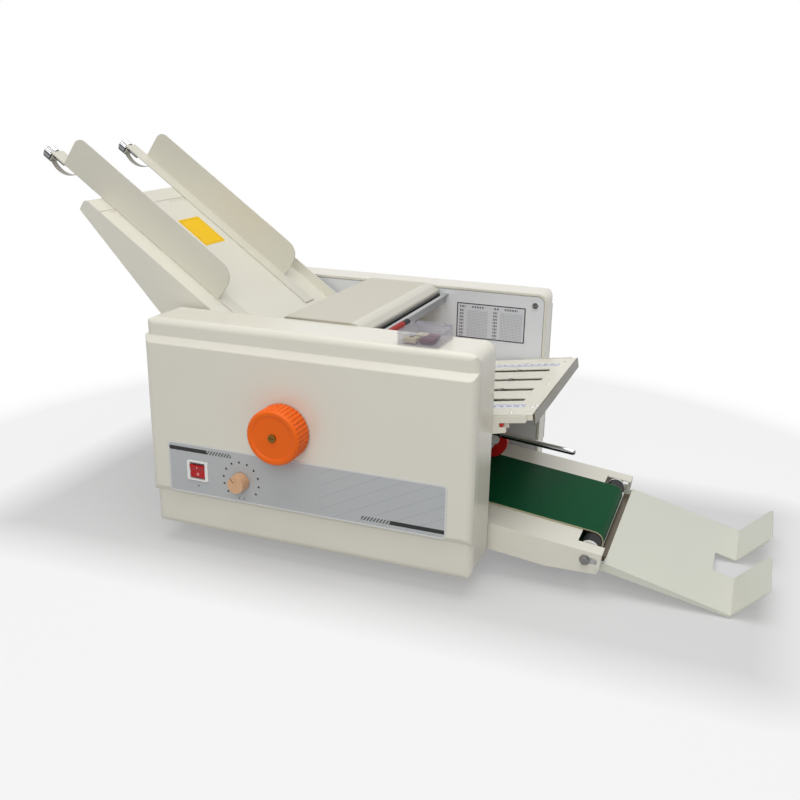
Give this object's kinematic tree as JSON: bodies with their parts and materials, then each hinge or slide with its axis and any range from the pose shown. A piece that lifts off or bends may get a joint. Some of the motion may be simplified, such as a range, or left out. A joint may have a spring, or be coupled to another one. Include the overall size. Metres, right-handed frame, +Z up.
{
  "type": "paper folding machine",
  "caption": "Desktop paper folding machine: sloping feed table with side guides, roller unit between two housings, fold plate, belt delivery with a hinged stacker plate",
  "frame": {"origin": "on the desk, under the middle of the machine's bounding box", "axes": "+X runs from the feed table to the delivery side, +Y from the control side to the back, +Z up"},
  "size_m": [0.8222, 0.3704, 0.4213],
  "materials": {
    "housing_plastic": "fine satin moulded plastic",
    "plate_paint": "smooth pale grey paint",
    "zinc_steel": "plain plated sheet steel",
    "machine_steel": "turned steel",
    "dark_steel": "black oxide",
    "bright_steel": "bright plated",
    "bush_bronze": "sintered bronze",
    "panel_print": "satin printed sheet",
    "white_plastic": "glossy",
    "red_plastic": "glossy",
    "knob_plastic": "satin beige",
    "orange_plastic": "satin orange",
    "board_green": "coated board",
    "black_plastic": "satin black",
    "motor_paint": "dark enamel",
    "black_rubber": "matt",
    "red_rubber": "ground matt rubber",
    "belt_rubber": "matt",
    "green_belt": "smooth belt",
    "gear_plastic": "moulded",
    "table_paint": "fine textured ivory paint",
    "steel_sheet": "satin sheet",
    "alloy": "plain",
    "pad_rubber": "cork-like rubber",
    "clear_plastic": "clear moulded plastic"
  },
  "bodies": {
    "machine": {"front_cover": "housing_plastic", "rear_cover": "housing_plastic", "front_side_plate": "plate_paint", "rear_side_plate": "plate_paint", "base_tray": "zinc_steel", "rubber_feet": "black_rubber", "frame_bars": "machine_steel", "cover_screws": "bright_steel", "shaft_bushes": "bush_bronze", "control_panel": "panel_print", "switch_bezel": "white_plastic", "circuit_board": "board_green", "power_inlet": "black_plastic", "motor": "motor_paint", "drive_belts": "belt_rubber", "feed_table": "table_paint", "left_fold_plate": "zinc_steel", "infeed_plate": "zinc_steel", "separator_pad": "pad_rubber", "plate_brackets": "zinc_steel", "conveyor_frame": "table_paint", "conveyor_belt": "green_belt", "tension_bolts": "bright_steel", "spares_box": "clear_plastic", "spare_pads": "pad_rubber"},
    "handwheel_set": {"handwheel": "orange_plastic", "handwheel_screw": "bright_steel", "main_gear_shaft": "machine_steel"},
    "roller_1_set": {"fold_roller_1": "red_rubber", "roller_shaft_1": "machine_steel"},
    "roller_2_set": {"fold_roller_2": "red_rubber", "roller_shaft_2": "machine_steel"},
    "roller_3_set": {"fold_roller_3": "red_rubber", "roller_shaft_3": "machine_steel"},
    "roller_4_set": {"fold_roller_4": "red_rubber", "roller_shaft_4": "machine_steel"},
    "feed_roller_set": {"feed_roller": "red_rubber", "feed_shaft": "dark_steel"},
    "idler_set": {"idler_gear": "gear_plastic"},
    "motor_drive": {"motor_pulley": "machine_steel"},
    "inner_roller_set": {"inner_roller": "black_plastic"},
    "end_roller_set": {"end_roller": "black_plastic"},
    "press_wheel_set": {"press_wheel": "red_rubber"},
    "press_rod_set": {"press_rod": "bright_steel", "rod_holder": "black_plastic"},
    "rocker_set": {"power_rocker": "red_plastic"},
    "knob_set": {"speed_knob": "knob_plastic"},
    "front_guide_set": {"front_guide": "steel_sheet"},
    "rear_guide_set": {"rear_guide": "steel_sheet"},
    "front_screw_set": {"front_thumb_screw": "bright_steel"},
    "rear_screw_set": {"rear_thumb_screw": "bright_steel"},
    "fold_plate_set": {"fold_plate_top": "steel_sheet", "fold_plate_bottom": "steel_sheet", "hook_pins": "red_plastic", "plate_rivets": "bright_steel"},
    "paper_stop_set": {"paper_stop": "alloy"},
    "top_cover_set": {"top_cover": "table_paint"},
    "spares_lid_set": {"spares_lid": "clear_plastic"},
    "stacker_set": {"stacker_plate": "steel_sheet"}
  },
  "joints": [
    {"name": "fold_roller_2_turn", "type": "hinge", "parent": "machine", "child": "roller_2_set", "pos_m": [0.00101, 0.0162, 0.14051], "axis": [0, 1, 0], "continuous": true},
    {"name": "fold_roller_1_turn", "type": "hinge", "parent": "machine", "child": "roller_1_set", "pos_m": [-0.00321, 0.0162, 0.16869], "axis": [0, 1, 0], "continuous": true},
    {"name": "fold_roller_3_turn", "type": "hinge", "parent": "machine", "child": "roller_3_set", "pos_m": [-0.01324, 0.0162, 0.11582], "axis": [0, 1, 0], "continuous": true},
    {"name": "fold_roller_4_turn", "type": "hinge", "parent": "machine", "child": "roller_4_set", "pos_m": [-0.02062, 0.0162, 0.0883], "axis": [0, 1, 0], "continuous": true},
    {"name": "handwheel_turn", "type": "hinge", "parent": "machine", "child": "handwheel_set", "pos_m": [-0.0611, -0.1338, 0.15489], "axis": [0, 1, 0], "continuous": true},
    {"name": "feed_roller_turn", "type": "hinge", "parent": "machine", "child": "feed_roller_set", "pos_m": [-0.0381, 0.0162, 0.1925], "axis": [0, 1, 0], "continuous": true},
    {"name": "idler_turn", "type": "hinge", "parent": "machine", "child": "idler_set", "pos_m": [-0.0096, -0.1098, 0.1926], "axis": [0, 1, 0], "continuous": true},
    {"name": "motor_turn", "type": "hinge", "parent": "machine", "child": "motor_drive", "pos_m": [-0.1531, 0.1362, 0.095], "axis": [0, 1, 0], "continuous": true},
    {"name": "inner_roller_turn", "type": "hinge", "parent": "machine", "child": "inner_roller_set", "pos_m": [0.0294, 0.0162, 0.06468], "axis": [0, 1, 0], "continuous": true},
    {"name": "end_roller_turn", "type": "hinge", "parent": "machine", "child": "end_roller_set", "pos_m": [0.23641, 0.0162, 0.03981], "axis": [0, 1, 0], "continuous": true},
    {"name": "press_wheel_turn", "type": "hinge", "parent": "machine", "child": "press_wheel_set", "pos_m": [0.0919, 0.0702, 0.0887], "axis": [0, 1, 0], "continuous": true},
    {"name": "press_rod_lift", "type": "hinge", "parent": "machine", "child": "press_rod_set", "pos_m": [0.0919, 0.0592, 0.0887], "axis": [0, -1, 0], "range_deg": [0, 45]},
    {"name": "rocker_press", "type": "hinge", "parent": "machine", "child": "rocker_set", "pos_m": [-0.1636, -0.1564, 0.095], "axis": [-1, 0, 0], "range_deg": [0, 18]},
    {"name": "speed_knob_turn", "type": "hinge", "parent": "machine", "child": "knob_set", "pos_m": [-0.1121, -0.1588, 0.0915], "axis": [0, -1, 0], "range_deg": [-140, 140]},
    {"name": "front_guide_slide", "type": "slide", "parent": "machine", "child": "front_guide_set", "axis": [0, 1, 0], "range_m": [-0.022, 0.05]},
    {"name": "rear_guide_slide", "type": "slide", "parent": "machine", "child": "rear_guide_set", "axis": [0, 1, 0], "range_m": [-0.045, 0.03]},
    {"name": "front_thumb_screw_turn", "type": "hinge", "parent": "front_guide_set", "child": "front_screw_set", "pos_m": [-0.39872, -0.05655, 0.4018], "axis": [0.8145, 0, -0.5801], "continuous": true},
    {"name": "rear_thumb_screw_turn", "type": "hinge", "parent": "rear_guide_set", "child": "rear_screw_set", "pos_m": [-0.39872, 0.07995, 0.4018], "axis": [0.8145, 0, -0.5801], "continuous": true},
    {"name": "fold_plate_slide", "type": "slide", "parent": "machine", "child": "fold_plate_set", "axis": [0.989, 0, 0.1478], "range_m": [0, 0.12]},
    {"name": "paper_stop_slide", "type": "slide", "parent": "fold_plate_set", "child": "paper_stop_set", "axis": [0.989, 0, 0.1478], "range_m": [-0.078, 0.032]},
    {"name": "top_cover_open", "type": "hinge", "parent": "machine", "child": "top_cover_set", "pos_m": [-0.0031, 0.0162, 0.2415], "axis": [0, 1, 0], "range_deg": [0, 80]},
    {"name": "spares_lid_open", "type": "hinge", "parent": "machine", "child": "spares_lid_set", "pos_m": [0.0749, -0.1014, 0.2651], "axis": [-1, 0, 0], "range_deg": [0, 110]},
    {"name": "stacker_lift", "type": "hinge", "parent": "machine", "child": "stacker_set", "pos_m": [0.2484, 0.0162, 0.0295], "axis": [0, -1, 0], "range_deg": [0, 40]}
  ],
  "couplings": [
    {"joint": "fold_roller_1_turn", "follows": "fold_roller_2_turn", "ratio": -1},
    {"joint": "fold_roller_3_turn", "follows": "fold_roller_2_turn", "ratio": -1},
    {"joint": "fold_roller_4_turn", "follows": "fold_roller_2_turn", "ratio": 1},
    {"joint": "handwheel_turn", "follows": "fold_roller_2_turn", "ratio": -0.28788},
    {"joint": "idler_turn", "follows": "fold_roller_2_turn", "ratio": 1.3571},
    {"joint": "feed_roller_turn", "follows": "fold_roller_2_turn", "ratio": -0.79167},
    {"joint": "motor_turn", "follows": "fold_roller_2_turn", "ratio": -1.8},
    {"joint": "inner_roller_turn", "follows": "fold_roller_2_turn", "ratio": 1},
    {"joint": "end_roller_turn", "follows": "fold_roller_2_turn", "ratio": 1},
    {"joint": "press_wheel_turn", "follows": "fold_roller_2_turn", "ratio": -0.55}
  ]
}
